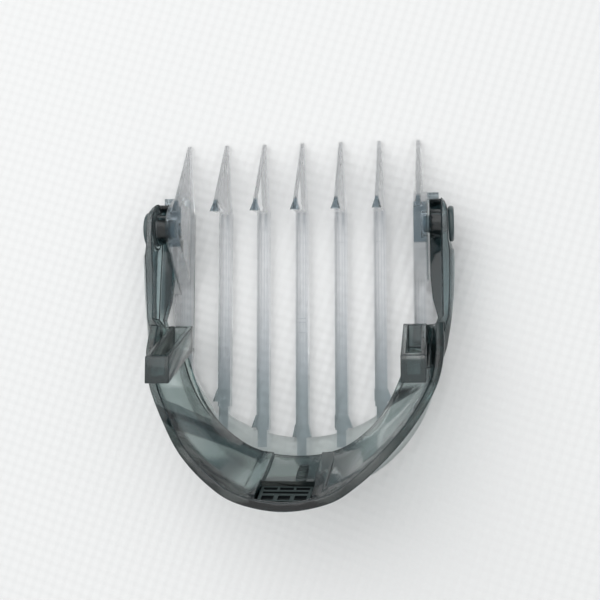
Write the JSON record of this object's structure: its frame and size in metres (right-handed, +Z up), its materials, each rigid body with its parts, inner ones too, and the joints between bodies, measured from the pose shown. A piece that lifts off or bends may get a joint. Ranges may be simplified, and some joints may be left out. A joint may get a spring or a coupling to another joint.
{
  "type": "hair clipper guide comb",
  "caption": "Pivoting guide comb for a hair clipper: smoked U-shaped carrier with guide rails and a rear latch grid, and a clear toothed comb swinging on two side pins",
  "frame": {"origin": "centre of the bounding box's footprint, on the surface that the comb lies on", "axes": "X across the teeth, +Y from the latch towards the tooth tips, +Z up from the skin side to the clipper side"},
  "size_m": [0.054, 0.063, 0.025],
  "materials": {
    "smoked_plastic": "glossy smoked see-through plastic",
    "clear_plastic": "glossy clear plastic, faintly grey",
    "pin_plastic": "satin dark plastic",
    "black_plastic": "black plastic"
  },
  "bodies": {
    "carrier": {"carrier_frame": "smoked_plastic", "pivot_pin_left": "pin_plastic", "pivot_pin_right": "pin_plastic", "latch_catch": "black_plastic"},
    "comb": {"comb": "clear_plastic"}
  },
  "joints": [
    {"name": "comb_tilt", "type": "hinge", "parent": "carrier", "child": "comb", "pos_m": [0, 0.0152, 0.0063], "axis": [-1, 0, 0], "range_deg": [0, 5]}
  ]
}
